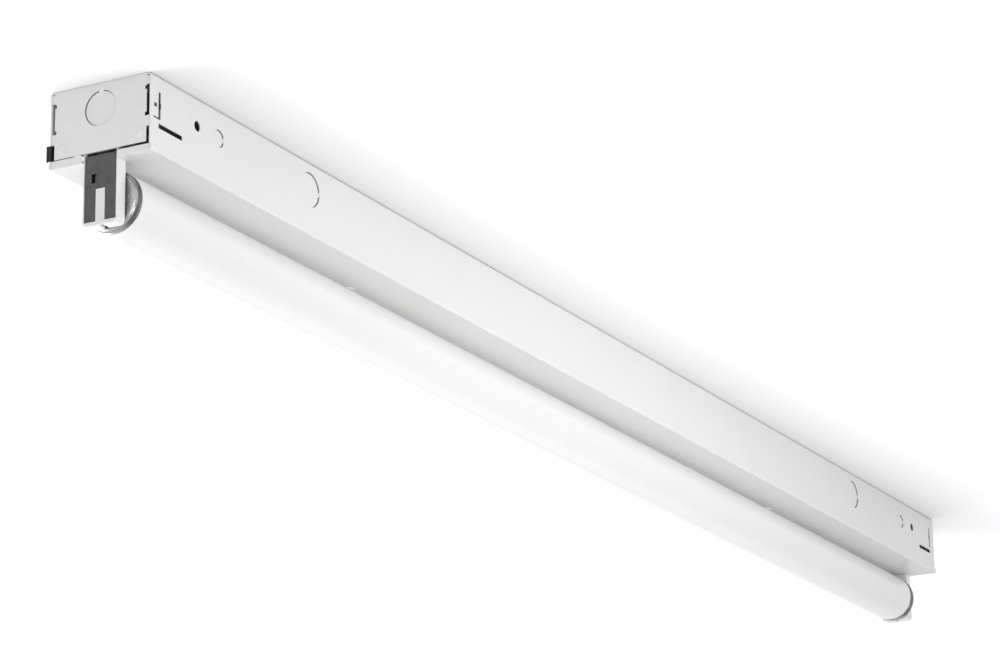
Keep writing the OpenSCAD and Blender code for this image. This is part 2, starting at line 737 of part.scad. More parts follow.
module lampholder_body() {
  color("white") translate([-half_l, 0, 0]) difference() {
    union() {
      difference() {
        translate([holder_back, 0, 0]) along_x(holder_t) holder_outline();
        block([0, -cavity_half_w, cavity_bottom], [holder_cavity_x, cavity_half_w, cavity_top]);
        translate([holder_cavity_x - 1, 0, axis_z]) rod_x(track_out, holder_t);
      }
      // Rib at the back, and behind the contact carrier's back plate the island that guides the pins
      block([rib_back, -holder_rib_w/2, cavity_bottom - 1], [rib_front, holder_rib_w/2, rib_top]);
      translate([island_x, 0, axis_z]) rod_x(track_in, holder_front - island_x);
      block([holder_back, -neck_w/2, holder_top - holder_wall/2], [holder_front, neck_w/2, neck_top]);
    }
    // Entry slot for the pins, through the island and out at the bottom
    block([rib_front, -slot_half, holder_bottom - 1], [holder_front + 1, slot_half, axis_z + track_in + 1]);
    for (side = [-1, 1]) {
      translate([groove_x + bracket_t/2, side*neck_w/2, groove_low + neck_h/2])
        cube([bracket_t + 2*groove_clear, 2*groove_d, neck_h], center = true);
      translate([contact_mid_x, side*passage_y, cavity_top - 1])
        cylinder(r = passage_r, h = neck_h + holder_wall + 3);
    }
  }
}

module contact_carrier() {
  half = cavity_half_w - carrier_clear;
  low = cavity_bottom + carrier_clear;
  high = cavity_top - carrier_clear;
  rib_half = holder_rib_w/2 + carrier_clear;
  front = holder_cavity_x - carrier_clear;
  pocket_in = passage_y - passage_r;
  pocket_out = contact_y + contact_t + 0.3;
  boss_low = -body_h - terminal_drop - terminal_w;
  color("dimgray") translate([-half_l, 0, 0]) difference() {
    union() {
      block([carrier_back, -half, low], [front, half, high]);
      block([carrier_back - terminal_h, half - terminal_w, boss_low],
        [carrier_front, half, boss_low + terminal_w]);
    }
    // Step along the top, where the leads come in
    block([0, -half - 1, high - carrier_step_h], [carrier_front + carrier_step_d, half + 1, high + 1]);
    // Room for the rib and the island
    block([0, -rib_half, low - 1], [carrier_front + 1, rib_half, rib_top + carrier_clear]);
    // Room behind the back plate for the pins, the entry slot and the contacts
    translate([carrier_front, 0, axis_z]) rod_x(track_out, front);
    block([carrier_front, -rib_half, low - 1], [front + 1, rib_half, axis_z]);
    for (side = [0, 1]) mirror([0, side, 0]) {
      block([carrier_front, pocket_in, axis_z], [front + 1, pocket_out, high + 1]);
      block([carrier_front, contact_y - 0.3, axis_z - contact_tail - 0.5],
        [front + 1, pocket_out, axis_z + 1]);
    }
    // Test opening in the terminal boss
    block([0, half - terminal_w + 1.2, boss_low + 2],
      [carrier_front + 0.4, half - terminal_w/2, boss_low + terminal_w - 2]);
  }
}

module lamp_contacts() {
  color("goldenrod") translate([-half_l, 0, 0]) for (side = [0, 1]) mirror([0, side, 0]) {
    block([contact_x, contact_y, axis_z - contact_tail],
      [contact_x + contact_w, contact_y + contact_t, contact_top + contact_t]);
    block([contact_x, passage_y - lead_r, contact_top],
      [contact_x + contact_w, contact_y + contact_t, contact_top + contact_t]);
  }
}

module lampholder_bracket() {
  outer = bracket_side_y + bracket_t;
  color("silver") translate([-half_l, 0, 0]) difference() {
    union() {
      block([groove_x, -outer, bracket_bottom], [groove_x + bracket_t, outer, bracket_top]);
      for (side = [0, 1]) mirror([0, side, 0]) {
        block([sheet_t, bracket_side_y, bracket_bottom], [groove_x + bracket_t, outer, bracket_top]);
        block([sheet_t, bracket_side_y, bracket_bottom], [sheet_t + bracket_t, bracket_foot_y, bracket_top]);
      }
    }
    // Notch that the neck slides up into, held by its grooves
    block([groove_x - 1, -groove_half - groove_clear, bracket_bottom - 1],
      [groove_x + bracket_t + 1, groove_half + groove_clear, neck_top + groove_clear]);
    for (side = [-1, 1]) translate([0, side*rivet_y, -rivet_z])
      rod_x(rivet_d/2 + rivet_clear, 2*sheet_t + bracket_t);
  }
}

module bracket_rivets() {
  foot = sheet_t + bracket_t;
  color("lightgray") translate([-half_l, 0, 0]) for (side = [-1, 1]) translate([0, side*rivet_y, -rivet_z]) {
    translate([-rivet_head_t, 0, 0]) rod_x(rivet_head_d/2, rivet_head_t);
    translate([-rivet_head_t/2, 0, 0]) rod_x(rivet_d/2, foot + rivet_head_t);
    translate([foot, 0, 0]) rod_x(rivet_head_d/2, rivet_head_t);
  }
}

// Lamp: everything here turns about the lamp axis

module on_axis() {
  translate([0, 0, axis_z]) rotate([0, 90, 0]) children();
}

// Solid outline of the whole tube, in radius and length, with a narrower neck at each end
module tube_outline(r, neck_r, shoulder, end) {
  polygon([
    [0, -end], [neck_r, -end], [neck_r, -shoulder], [r, neck_taper - shoulder],
    [r, shoulder - neck_taper], [neck_r, shoulder], [neck_r, end], [0, end]
  ]);
}

module glass_tube() {
  color("white") on_axis() rotate_extrude($fn = 96) difference() {
    tube_outline(lamp_r, neck_r, cap_face - cap_l, tube_end);
    tube_outline(lamp_r - glass_t, neck_r - glass_t, cap_face - cap_l, tube_end + 1);
  }
}

// Outline of a cup with a rounded shoulder, face up, in radius and length
module cup_outline(r, shoulder_r, face) {
  square([r, face - shoulder_r]);
  square([r - shoulder_r, face]);
  translate([r - shoulder_r, face - shoulder_r]) circle(shoulder_r);
}

module lamp_cap() {
  color("silver") translate([0, 0, axis_z]) rotate([0, -90, 0]) rotate_extrude($fn = 96) difference() {
    intersection() {
      cup_outline(cap_r, cap_shoulder_r, cap_face);
      translate([pin_disc_d/2 - 1, cap_face - cap_l]) square([lamp_r, cap_l]);
    }
    cup_outline(cap_r - cap_t, cap_shoulder_r - cap_t, cap_face - cap_t);
  }
}

module pin_disc() {
  color("saddlebrown") translate([-cap_face + cap_t, 0, axis_z]) difference() {
    union() {
      rod_x(pin_disc_d/2 + 1, pin_disc_t);
      translate([-cap_t - 0.3, 0, 0]) rod_x(pin_disc_d/2 - 1.05, cap_t + 0.4);
    }
    for (side = [-1, 1]) translate([-1, side*pin_orbit, 0]) rod_x(pin_r + 0.03, pin_disc_t + 2);
  }
}

module lamp_pins() {
  inner = pin_disc_t + cap_t;
  color("goldenrod") for (side = [-1, 1]) translate([-cap_face - pin_l, side*pin_orbit, axis_z]) {
    translate([pin_r, 0, 0]) sphere(pin_r);
    translate([pin_r, 0, 0]) rod_x(pin_r, pin_l + inner - pin_r);
  }
}

module lamp_stem() {
  flare_r = neck_r - glass_t - 0.05;
  color("lightcyan") {
    translate([-tube_end, 0, axis_z]) rotate([0, 90, 0]) rotate_extrude() difference() {
      union() {
        square([flare_r, 1.2]);
        square([stem_d/2, stem_l - press_l]);
        translate([stem_d/2, 1.2]) difference() {
          square(3);
          translate([3, 3]) circle(3);
        }
      }
      translate([-1, -1]) square([stem_d/2, stem_l - press_l - 1]);
    }
    translate([-tube_end + stem_l - press_l/2 - 0.5, 0, axis_z])
      cube([press_l + 1, stem_d - 0.5, press_t], center = true);
  }
}

module cathode() {
  x_press = -tube_end + stem_l;
  spread = stem_d/2 - 1.5;
  color("gray") translate([x_press, 0, axis_z]) {
    for (side = [-1, 1]) translate([0, side*spread, 0]) rod_x(cathode_wire_d/2, cathode_out);
    translate([cathode_out, -spread - 2, 0]) rotate([-90, 0, 0])
      cylinder(d = cathode_coil_d, h = 2*spread + 4);
  }
}

// Ballast

module ballast_base() {
  color("black") difference() {
    block([-base_end, -ballast_w/2, base_bottom], [base_end, ballast_w/2, inner_top]);
    for (end = [0, 1]) mirror([end, 0, 0])
      block([stud_x - stud_d/2 - 0.4, -stud_d/2 - 0.4, base_bottom - 1],
        [base_end + 1, stud_d/2 + 0.4, 0]);
  }
}

module ballast_case() {
  color("black") difference() {
    block([-case_end, -ballast_w/2, case_bottom], [case_end, ballast_w/2, base_bottom]);
    block([-case_end + ballast_wall, -ballast_w/2 + ballast_wall, case_bottom + ballast_wall],
      [case_end - ballast_wall, ballast_w/2 - ballast_wall, base_bottom + 1]);
    translate([-case_end - 1, 0, ballast_hole_z]) rod_x(ballast_hole_d/2, 2*case_end + 2);
  }
}

module core_outline() {
  translate([-core_l/2, -core_w/2]) square([core_l, core_w]);
}

module core_windows() {
  for (side = [-1, 1]) translate([side*(coil_window + core_leg)/2, 0])
    square([coil_window, core_w - 2*core_leg], center = true);
}

module ballast_core() {
  color("dimgray") translate([core_x, 0, core_z - core_h/2]) linear_extrude(core_h) difference() {
    core_outline();
    core_windows();
  }
}

// The winding goes round the middle leg, through both windows
module coil_shape(clear) {
  half_x = core_leg/2 + coil_window - 1 + clear;
  half_y = core_w/2 - core_leg - 0.5 + clear;
  half_z = core_h/2 + coil_out + clear;
  block([-half_x, -half_y, -half_z], [half_x, half_y, half_z]);
}

module ballast_coils() {
  leg_half = core_leg/2 + 0.3;
  color("peru") translate([core_x, 0, core_z]) difference() {
    coil_shape(0);
    block([-leg_half, -core_w, -core_h/2 - 0.3], [leg_half, core_w, core_h/2 + 0.3]);
  }
}

core_x = -case_end + ballast_wall + core_l/2 + 14;
cap_can_x = case_end - ballast_wall - cap_can_l/2 - 14;

module ballast_capacitor() {
  color("lightgray") translate([cap_can_x - cap_can_l/2, 0, core_z]) rod_x(cap_can_d/2, cap_can_l);
}

module ballast_potting() {
  inset = 0.1;
  half_y = ballast_w/2 - ballast_wall - inset;
  color("saddlebrown") difference() {
    block([-case_end + ballast_wall + inset, -half_y, case_bottom + ballast_wall + inset],
      [case_end - ballast_wall - inset, half_y, base_bottom - inset]);
    block([core_x - core_l/2 - inset, -core_w/2 - inset, core_z - core_h/2 - inset],
      [core_x + core_l/2 + inset, core_w/2 + inset, core_z + core_h/2 + inset]);
    translate([core_x, 0, core_z]) coil_shape(inset);
    translate([cap_can_x - cap_can_l/2 - inset, 0, core_z]) rod_x(cap_can_d/2 + inset, cap_can_l + 2*inset);
    for (end = [0, 1]) mirror([end, 0, 0])
      translate([-case_end, 0, ballast_hole_z]) rod_x(grommet_r + 0.2, ballast_wall + 2*grommet_t + 1);
  }
}

module ballast_grommets() {
  color("ivory") for (end = [0, 1]) mirror([end, 0, 0])
    translate([-case_end - grommet_t, 0, ballast_hole_z]) difference() {
      union() {
        rod_x(grommet_r, 2*grommet_t + ballast_wall);
        rod_x(grommet_r + 1.2, grommet_t);
      }
      translate([-1, 0, 0]) rod_x(grommet_r - 1, 4*grommet_t + ballast_wall);
    }
}

module ballast_studs() {
  color("silver") for (end = [-1, 1]) translate([end*stud_x, 0, inner_top - stud_l])
    cylinder(d = stud_d, h = stud_l);
}

module ballast_nuts() {
  color("silver") for (end = [-1, 1]) translate([end*stud_x, 0, base_bottom - nut_t])
    difference() {
      hex(nut_af, nut_t);
      translate([0, 0, -1]) cylinder(d = stud_d + 0.1, h = nut_t + 2);
    }
}

// Leads

// A lead from the ballast along the lip to a lampholder. lane 0 lies on the side wall, lane 1 beside it.
// Drawn for the left end and the +Y lip.
module lamp_lead(lane) {
  y_lip = track_y[lane];
  y_neck = lane == 0 ? passage_y : -passage_y;
  y_out = lane == 0 ? 1.6 : -1.6;
  x_neck = -half_l + contact_mid_x;
  x_turn = x_neck + 30 + 12*lane;
  z_over = neck_top + 9 + 3*lane;
  lead([
    [-case_end + ballast_wall + 1, y_out, ballast_hole_z + 2],
    [-case_end - 22 - 6*lane, y_out, ballast_hole_z + 2],
    [-case_end - 50 - 6*lane, y_lip, track_z],
    [x_turn + 24, y_lip, track_z],
    [x_turn, y_neck, z_over],
    [x_neck, y_neck, z_over],
    [x_neck, y_neck, contact_top + contact_t + 0.05]
  ], lead_r);
}

module blue_leads() {
  color("royalblue") for (lane = [0, 1]) lamp_lead(lane);
}

module red_leads() {
  color("firebrick") mirror([1, 0, 0]) for (lane = [0, 1]) lamp_lead(lane);
}

// A supply lead from the ballast along the -Y lip, ending in its wire connector
module supply_lead(lane) {
  y_out = lane == 0 ? -1.6 : 1.6;
  y_end = lane == 0 ? -connector_d/2 - 3 : connector_d/2 + 3;
  z_end = cover_top + connector_d/2 + lead_rest;
  lead([
    [-case_end + ballast_wall + 1, y_out, ballast_hole_z - 2],
    [-case_end - 20 - 8*lane, y_out, ballast_hole_z - 2],
    [-case_end - 44 - 8*lane, -track_y[lane], track_z],
    [-connector_x + 50 + 24*lane, -track_y[lane], track_z],
    [-connector_x + 26, y_end, z_end],
    [-connector_x - connector_l/2, y_end, z_end]
  ], lead_r);
}

module black_lead() {
  color("black") supply_lead(0);
}

module white_lead() {
  color("white") supply_lead(1);
}

// Twist-on connectors that lie on the cover, open towards the ballast
module wire_connectors() {
  r = connector_d/2;
  color("orange") for (side = [-1, 1])
    translate([-connector_x, side*(r + 3), cover_top + r + lead_rest]) rotate([0, -90, 0]) difference() {
      union() {
        cylinder(r1 = r, r2 = 0.62*r, h = connector_l);
        for (i = [0:7]) rotate([0, 0, 45*i + 22.5]) translate([0.55*r, -0.35, 0.3*connector_l])
          cube([0.3*r, 0.7, 0.65*connector_l]);
      }
      translate([0, 0, -1]) cylinder(r = lead_r + 0.3, h = connector_l/2 + 1.2);
    }
}

module lead_clips() {
  low = lip_top;
  strap_z = track_z + lead_r + 0.1;
  inner = track_y[1] - lead_r - 0.1;
  color("silver") for (end = [-1, 1], i = [0, 1]) translate([end*(clip_x + i*clip_step) - clip_l/2, 0, 0]) {
    block([0, inner_y - clip_t, strap_z], [clip_l, inner_y, strap_z + clip_leg_h]);
    block([0, inner - clip_t, strap_z], [clip_l, inner_y, strap_z + clip_t]);
    block([0, inner - clip_t, low], [clip_l, inner, strap_z + clip_t]);
  }
}

module ground_screw() {
  color("green") translate([-ground_x, 0, inner_top - collar_h]) {
    translate([0, 0, -ground_head_t]) hex(ground_af, ground_head_t);
    translate([0, 0, -0.5]) cylinder(d = ground_d, h = collar_h + sheet_t + 0.3);
  }
}

housing_channel();
at_end(-1) end_plate();  // end_plate_left
at_end(1) end_plate();  // end_plate_right
at_end(-1) corner_clip();  // corner_clip_left
at_end(1) corner_clip();  // corner_clip_right
channel_cover();
at_end(-1) latch_strap();  // latch_strap_left
at_end(1) latch_strap();  // latch_strap_right
at_end(-1) cover_latch();  // cover_latch_left
at_end(1) cover_latch();  // cover_latch_right
at_end(-1) latch_washer();  // latch_washer_left
at_end(1) latch_washer();  // latch_washer_right
at_end(-1) lampholder_body();  // lampholder_body_left
at_end(1) lampholder_body();  // lampholder_body_right
at_end(-1) contact_carrier();  // contact_carrier_left
at_end(1) contact_carrier();  // contact_carrier_right
at_end(-1) lamp_contacts();  // lamp_contacts_left
at_end(1) lamp_contacts();  // lamp_contacts_right
at_end(-1) lampholder_bracket();  // lampholder_bracket_left
at_end(1) lampholder_bracket();  // lampholder_bracket_right
at_end(-1) bracket_rivets();  // bracket_rivets_left
at_end(1) bracket_rivets();  // bracket_rivets_right
glass_tube();
at_end(-1) lamp_cap();  // lamp_cap_left
at_end(1) lamp_cap();  // lamp_cap_right
at_end(-1) pin_disc();  // pin_disc_left
at_end(1) pin_disc();  // pin_disc_right
at_end(-1) lamp_pins();  // lamp_pins_left
at_end(1) lamp_pins();  // lamp_pins_right
at_end(-1) lamp_stem();  // lamp_stem_left
at_end(1) lamp_stem();  // lamp_stem_right
at_end(-1) cathode();  // cathode_left
at_end(1) cathode();  // cathode_right
ballast_case();
ballast_base();
ballast_core();
ballast_coils();
ballast_capacitor();
ballast_potting();
ballast_grommets();
ballast_studs();
ballast_nuts();
blue_leads();
red_leads();
black_lead();
white_lead();
wire_connectors();
lead_clips();
ground_screw();
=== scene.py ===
import math

import bmesh
import bpy
from mathutils import Matrix, Vector


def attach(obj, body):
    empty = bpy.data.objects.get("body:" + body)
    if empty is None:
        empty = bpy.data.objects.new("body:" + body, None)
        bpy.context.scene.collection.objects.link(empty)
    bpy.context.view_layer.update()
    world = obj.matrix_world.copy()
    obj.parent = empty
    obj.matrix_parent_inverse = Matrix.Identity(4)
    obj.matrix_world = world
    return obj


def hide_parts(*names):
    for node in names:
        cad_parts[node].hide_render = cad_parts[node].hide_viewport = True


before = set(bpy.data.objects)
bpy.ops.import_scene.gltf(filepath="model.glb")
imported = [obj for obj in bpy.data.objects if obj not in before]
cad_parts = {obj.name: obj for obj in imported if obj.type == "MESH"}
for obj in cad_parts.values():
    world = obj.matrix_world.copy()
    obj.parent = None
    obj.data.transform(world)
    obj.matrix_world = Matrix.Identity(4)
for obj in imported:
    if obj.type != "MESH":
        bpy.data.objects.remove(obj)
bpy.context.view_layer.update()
scene = bpy.context.scene
scene.view_settings.view_transform = "Standard"

# Camera
# Stands below and in front of the near end, and looks up along the fixture with a long lens,
# so that the end plate, one side wall and the lamp show.
camera_place = (-2.194219, -1.102212, -0.757871)
yaw, pitch, roll = 0.488305, 0.304235, -0.016118
lens = bpy.data.cameras.new("viewpoint")
lens.sensor_width = 36
lens.lens = 127.11
lens.clip_start, lens.clip_end = 0.05, 60
ahead = Vector((
    math.cos(yaw) * math.cos(pitch), math.sin(yaw) * math.cos(pitch), math.sin(pitch),
))
level = Vector((math.sin(yaw), -math.cos(yaw), 0))
raised = level.cross(ahead)
right = level * math.cos(roll) + raised * math.sin(roll)
up = raised * math.cos(roll) - level * math.sin(roll)
camera = bpy.data.objects.new("viewpoint", lens)
camera.matrix_world = (
    Matrix.Translation(camera_place) @ Matrix((right, up, -ahead)).transposed().to_4x4()
)
scene.collection.objects.link(camera)
scene.camera = camera

# Ceiling and floor
# The fixture hangs on a plain white ceiling, which is open over the fixture's own back so that
# the back can be seen from above. A pale floor lies 1.2 m below and shows only from above.


def feed(tree, socket, value):
    """Links an input to the output that feeds it, or gives it a plain number or colour"""
    if isinstance(value, bpy.types.NodeSocket):
        tree.links.new(value, socket)
    else:
        socket.default_value = (*value, 1) if isinstance(value, tuple) else value


def maths(tree, operation, *values):
    """Math node on outputs and plain numbers"""
    node = tree.nodes.new("ShaderNodeMath")
    node.operation = operation
    for socket, value in zip(node.inputs, values):
        feed(tree, socket, value)
    return node.outputs[0]


def seen_directly(tree):
    """1 for what the camera sees, also in a reflection or through glass, and 0 for other light"""
    rays = tree.nodes.new("ShaderNodeLightPath").outputs
    seen = rays["Is Camera Ray"]
    for ray in ("Is Glossy Ray", "Is Transmission Ray"):
        seen = maths(tree, "MAXIMUM", seen, rays[ray])
    return seen


def backdrop_finish(name, albedo, glow, contact, only_seen):
    """White that shows its front alone. Its glow is dimmed by a painted shadow within the contact
    distance of an object. Where it is only seen, it neither lights the fixture nor shades it."""
    finish = bpy.data.materials.new(name)
    finish.use_nodes = True
    tree = finish.node_tree
    tree.nodes.clear()
    add, link = tree.nodes.new, tree.links.new

    def either(factor, first, second):
        choice = add("ShaderNodeMixShader")
        for value, socket in zip((factor, first, second), choice.inputs):
            link(value, socket)
        return choice.outputs[0]

    near = add("ShaderNodeAmbientOcclusion")
    near.samples = 16
    near.inputs["Distance"].default_value = contact
    contrast = 1.25
    watched = seen_directly(tree)
    # Painted shadow: the glow falls off where an object stands near
    shade = maths(tree, "POWER", near.outputs["AO"], contrast)
    light = add("ShaderNodeEmission")
    strength = maths(tree, "MULTIPLY", maths(tree, "MULTIPLY", shade, watched), glow)
    link(strength, light.inputs["Strength"])
    lit = add("ShaderNodeBsdfDiffuse")
    lit.inputs["Color"].default_value = (albedo, albedo, albedo, 1)
    both = add("ShaderNodeAddShader")
    link(lit.outputs[0], both.inputs[0])
    link(light.outputs[0], both.inputs[1])
    clear = add("ShaderNodeBsdfTransparent").outputs[0]
    from_behind = add("ShaderNodeNewGeometry").outputs["Backfacing"]
    shown = either(from_behind, both.outputs[0], clear)
    if only_seen:
        shown = either(watched, clear, shown)
    link(shown, add("ShaderNodeOutputMaterial").inputs["Surface"])
    return finish


def backdrop(name, finish, reach, height, facing, opening=None):
    """Level plane that reaches as far on every side, with or without an oblong opening in its
    middle. It faces up where facing is 1 and down where it is -1."""
    bm = bmesh.new()
    loops = []
    for x, y in filter(None, (opening, (reach, reach))):
        corners = [
            bm.verts.new((a * x, b * y, height)) for a, b in ((-1, -1), (1, -1), (1, 1), (-1, 1))
        ]
        loops += [bm.edges.new((corners[i - 1], corners[i])) for i in range(4)]
    if opening:
        bmesh.ops.bridge_loops(bm, edges=loops)
    else:
        bmesh.ops.contextual_create(bm, geom=loops)
    for face in bm.faces:
        face.normal_update()
        if face.normal.z * facing < 0:
            face.normal_flip()
    mesh = bpy.data.meshes.new(name)
    bm.to_mesh(mesh)
    bm.free()
    mesh.materials.append(finish)
    plane = bpy.data.objects.new(name, mesh)
    scene.collection.objects.link(plane)


# Both backdrops carry a painted contact shadow round the fixture
ceiling_white = backdrop_finish(
    "ceiling_white", albedo=0.6, glow=0.58, contact=0.16, only_seen=False,
)
backdrop("ceiling", ceiling_white, reach=6, height=0.0004, facing=-1, opening=(0.6088, 0.0330))
floor_white = backdrop_finish(
    "floor_white", albedo=0.3, glow=0.72, contact=0.2, only_seen=True,
)
backdrop("floor", floor_white, reach=6, height=-1.2, facing=1)

# Light
# A plain white surrounding light, with a large soft light beyond the near end, a wide one low down
# behind the fixture and a narrow one that lifts the middle of the open side.
ambient = 0.62
sky = bpy.data.worlds.new("surroundings")
scene.world = sky
sky.use_nodes = True
sky_tree = sky.node_tree
sky_light = sky_tree.nodes["Background"]
sky_light.inputs["Color"].default_value = (1, 1, 1, 1)
sky_level = maths(sky_tree, "MULTIPLY_ADD", seen_directly(sky_tree), 1 - ambient, ambient)
sky_tree.links.new(sky_level, sky_light.inputs["Strength"])


def soft_light(name, place, towards, size, watts, spread=180):
    """Square light that looks from its place towards a point on the fixture"""
    lamp = bpy.data.lights.new(name, "AREA")
    lamp.size, lamp.energy, lamp.spread = size, watts, math.radians(spread)
    holder = bpy.data.objects.new(name, lamp)
    holder.location = place
    holder.rotation_mode = "QUATERNION"
    holder.rotation_quaternion = (Vector(towards) - Vector(place)).to_track_quat("-Z", "Y")
    scene.collection.objects.link(holder)


soft_light("near_end_light", (-1.5, -1.5, -0.55), (-0.3, 0, -0.05), size=1.2, watts=9.2)
soft_light("low_back_light", (-0.6, 1.1, -1.15), (-0.15, 0, -0.05), size=0.8, watts=13.5)
soft_light("middle_light", (-0.1, -1.5, -0.8), (-0.05, 0, -0.05), size=0.4, watts=1, spread=60)

# Housing channel
# One sheet of 0.8 mm steel, folded into a channel that opens downwards, with its slits, screw
# holes and pushed-in knock-outs punched first and the whole coated in white enamel afterwards.


def effect(name, output, **inputs):
    """Shader node group with the given inputs and one output, each a name and a kind of socket"""
    tree = bpy.data.node_groups.new(name, "ShaderNodeTree")
    kinds = {"float": "NodeSocketFloat", "colour": "NodeSocketColor", "vector": "NodeSocketVector"}
    for key, kind in inputs.items():
        tree.interface.new_socket(key, in_out="INPUT", socket_type=kinds[kind])
    key, kind = output
    tree.interface.new_socket(key, in_out="OUTPUT", socket_type=kinds[kind])
    return tree, tree.nodes.new("NodeGroupInput").outputs, tree.nodes.new("NodeGroupOutput").inputs


def noise(tree, given, detail, times=1.0):
    """Noise texture in a group, whose scale is the group's own times a number"""
    texture = tree.nodes.new("ShaderNodeTexNoise")
    texture.inputs["Detail"].default_value = detail
    tree.links.new(given["Vector"], texture.inputs["Vector"])
    tree.links.new(maths(tree, "MULTIPLY", given["Scale"], times), texture.inputs["Scale"])
    return texture.outputs["Fac"]


def remap(tree, value, low, high, to_low=0.0, to_high=1.0):
    """Smooth step from one level to another as the value goes from low to high"""
    node = tree.nodes.new("ShaderNodeMapRange")
    node.interpolation_type = "SMOOTHSTEP"
    limits = {"From Min": low, "From Max": high, "To Min": to_low, "To Max": to_high}
    for key, limit in limits.items():
        feed(tree, node.inputs[key], limit)
    tree.links.new(value, node.inputs["Value"])
    return node.outputs["Result"]


def mixed(tree, factor, first, second):
    """Colour between two, each an output or a plain colour"""
    node = tree.nodes.new("ShaderNodeMix")
    node.data_type = "RGBA"
    tree.links.new(factor, node.inputs["Factor"])
    for socket, colour in zip((node.inputs[6], node.inputs[7]), (first, second)):
        feed(tree, socket, colour)
    return node.outputs[2]


# Clouds of a second tone over the first, as in any coat or cast surface
tone, given, out = effect(
    "uneven_tone", ("Colour", "colour"),
    Vector="vector", Colour="colour", Tint="colour", Scale="float",
)
broad_clouds = remap(tone, noise(tone, given, detail=4), 0.32, 0.68)
small_clouds = remap(tone, noise(tone, given, detail=2, times=9), 0.3, 0.7)
small_share = 0.35
clouds = maths(
    tone, "MULTIPLY_ADD", small_clouds, small_share,
    maths(tone, "MULTIPLY", broad_clouds, 1 - small_share),
)
tone.links.new(mixed(tone, clouds, given["Colour"], given["Tint"]), out["Colour"])

# Small bumps of a sprayed, moulded or ground surface
grain, given, out = effect("surface_grain", ("Height", "float"), Vector="vector", Scale="float")
broad_bumps = noise(grain, given, detail=2)
sharp_bumps = noise(grain, given, detail=1, times=3.7)
sharp_share = 0.3
height = maths(grain, "MULTIPLY_ADD", sharp_bumps, sharp_share, broad_bumps)
grain.links.new(height, out["Height"])

# Specks and short scuffs from handling
scuff, given, out = effect("handling_marks", ("Mark", "float"), Vector="vector", Scale="float")
patches = remap(scuff, noise(scuff, given, detail=5), 0.60, 0.72)
specks = remap(scuff, noise(scuff, given, detail=3, times=14), 0.58, 0.70)
scuff.links.new(maths(scuff, "MULTIPLY", patches, specks), out["Mark"])


def place_group(tree, group, **values):
    """Puts a node group into a finish, with its own values, and gives its one output"""
    node = tree.nodes.new("ShaderNodeGroup")
    node.node_tree = group
    for key, value in values.items():
        feed(tree, node.inputs[key], value)
    return node.outputs[0]


def surface(name, colour, tint, cloud_scale, rough, grain_scale, relief, metal=0.0,
            stretch=(1, 1, 1), marks=None, **sockets):
    """Principled finish. colour and tint make its clouds, rough is its roughness from and to,
    stretch drags the grain out along an axis, and marks is the colour and scale of its
    handling marks."""
    finish = bpy.data.materials.new(name)
    finish.use_nodes = True
    tree = finish.node_tree
    shader = tree.nodes["Principled BSDF"].inputs
    place = tree.nodes.new("ShaderNodeTexCoord").outputs["Object"]
    drag = tree.nodes.new("ShaderNodeMapping")
    drag.inputs["Scale"].default_value = stretch
    tree.links.new(place, drag.inputs["Vector"])
    base = place_group(tree, tone, Vector=place, Colour=colour, Tint=tint, Scale=cloud_scale)
    bumps = place_group(tree, grain, Vector=drag.outputs["Vector"], Scale=grain_scale)
    if marks:
        mark_colour, mark_scale = marks
        marked = place_group(tree, scuff, Vector=place, Scale=mark_scale)
        base = mixed(tree, marked, base, mark_colour)
    tree.links.new(base, shader["Base Color"])
    tree.links.new(remap(tree, bumps, 0.35, 0.95, *rough), shader["Roughness"])
    bump_depth = 0.00005
    bump = tree.nodes.new("ShaderNodeBump")
    bump.inputs["Strength"].default_value = relief
    bump.inputs["Distance"].default_value = bump_depth
    tree.links.new(bumps, bump.inputs["Height"])
    tree.links.new(bump.outputs["Normal"], shader["Normal"])
    shader["Metallic"].default_value = metal
    for key, value in sockets.items():
        shader[key.replace("_", " ")].default_value = value
    return finish


def ease(bm, width, angle=30):
    """Rounds the edges that turn by more than the angle"""
    found = [e for e in bm.edges if e.is_manifold and e.calc_face_angle() > math.radians(angle)]
    bmesh.ops.bevel(
        bm, geom=found, offset=width, offset_type="OFFSET", segments=2, profile=0.5,
        affect="EDGES", material=-1, clamp_overlap=True,
    )


def solid_of(node):
    """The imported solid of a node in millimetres, its loose triangles joined into flat faces"""
    bm = bmesh.new()
    bm.from_mesh(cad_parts[node].data)
    bmesh.ops.scale(bm, vec=(1000,) * 3, verts=bm.verts)
    bmesh.ops.remove_doubles(bm, verts=bm.verts, dist=0.002)
    bmesh.ops.dissolve_limit(bm, angle_limit=math.radians(0.3), verts=bm.verts, edges=bm.edges)
    return bm


def piece(bm, name, finish, slot, body, *stands_for, side=-1):
    """Makes a shape a piece of the fixture. It is drawn in millimetres at the left end, side -1,
    and mirrored for the right end, side 1."""
    bmesh.ops.scale(bm, vec=(-0.001 * side, 0.001, 0.001), verts=bm.verts)
    bmesh.ops.recalc_face_normals(bm, faces=bm.faces)
    mesh = bpy.data.meshes.new(name)
    bm.to_mesh(mesh)
    bm.free()
    mesh.shade_smooth()
    mesh.set_sharp_from_angle(angle=math.radians(32))
    mesh.materials.append(finish)
    made = bpy.data.objects.new(name, mesh)
    scene.collection.objects.link(made)
    flat = made.modifiers.new("flat_faces", "WEIGHTED_NORMAL")
    flat.mode, flat.weight, flat.keep_sharp = "FACE_AREA", 100, True
    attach(made, body)
    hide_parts(*stands_for)


enamel = surface(
    "white_enamel", colour=(0.87, 0.87, 0.865), tint=(0.845, 0.845, 0.84), cloud_scale=14,
    rough=(0.30, 0.40), grain_scale=900, relief=0.25, marks=((0.81, 0.81, 0.80), 22),
    Coat_Weight=0.25, Coat_Roughness=0.12,
)
sheet_edge = 0.12
shell = solid_of("housing_channel")
ease(shell, sheet_edge)
piece(shell, "channel_sheet", enamel, "white_enamel", "fixture", "housing_channel")
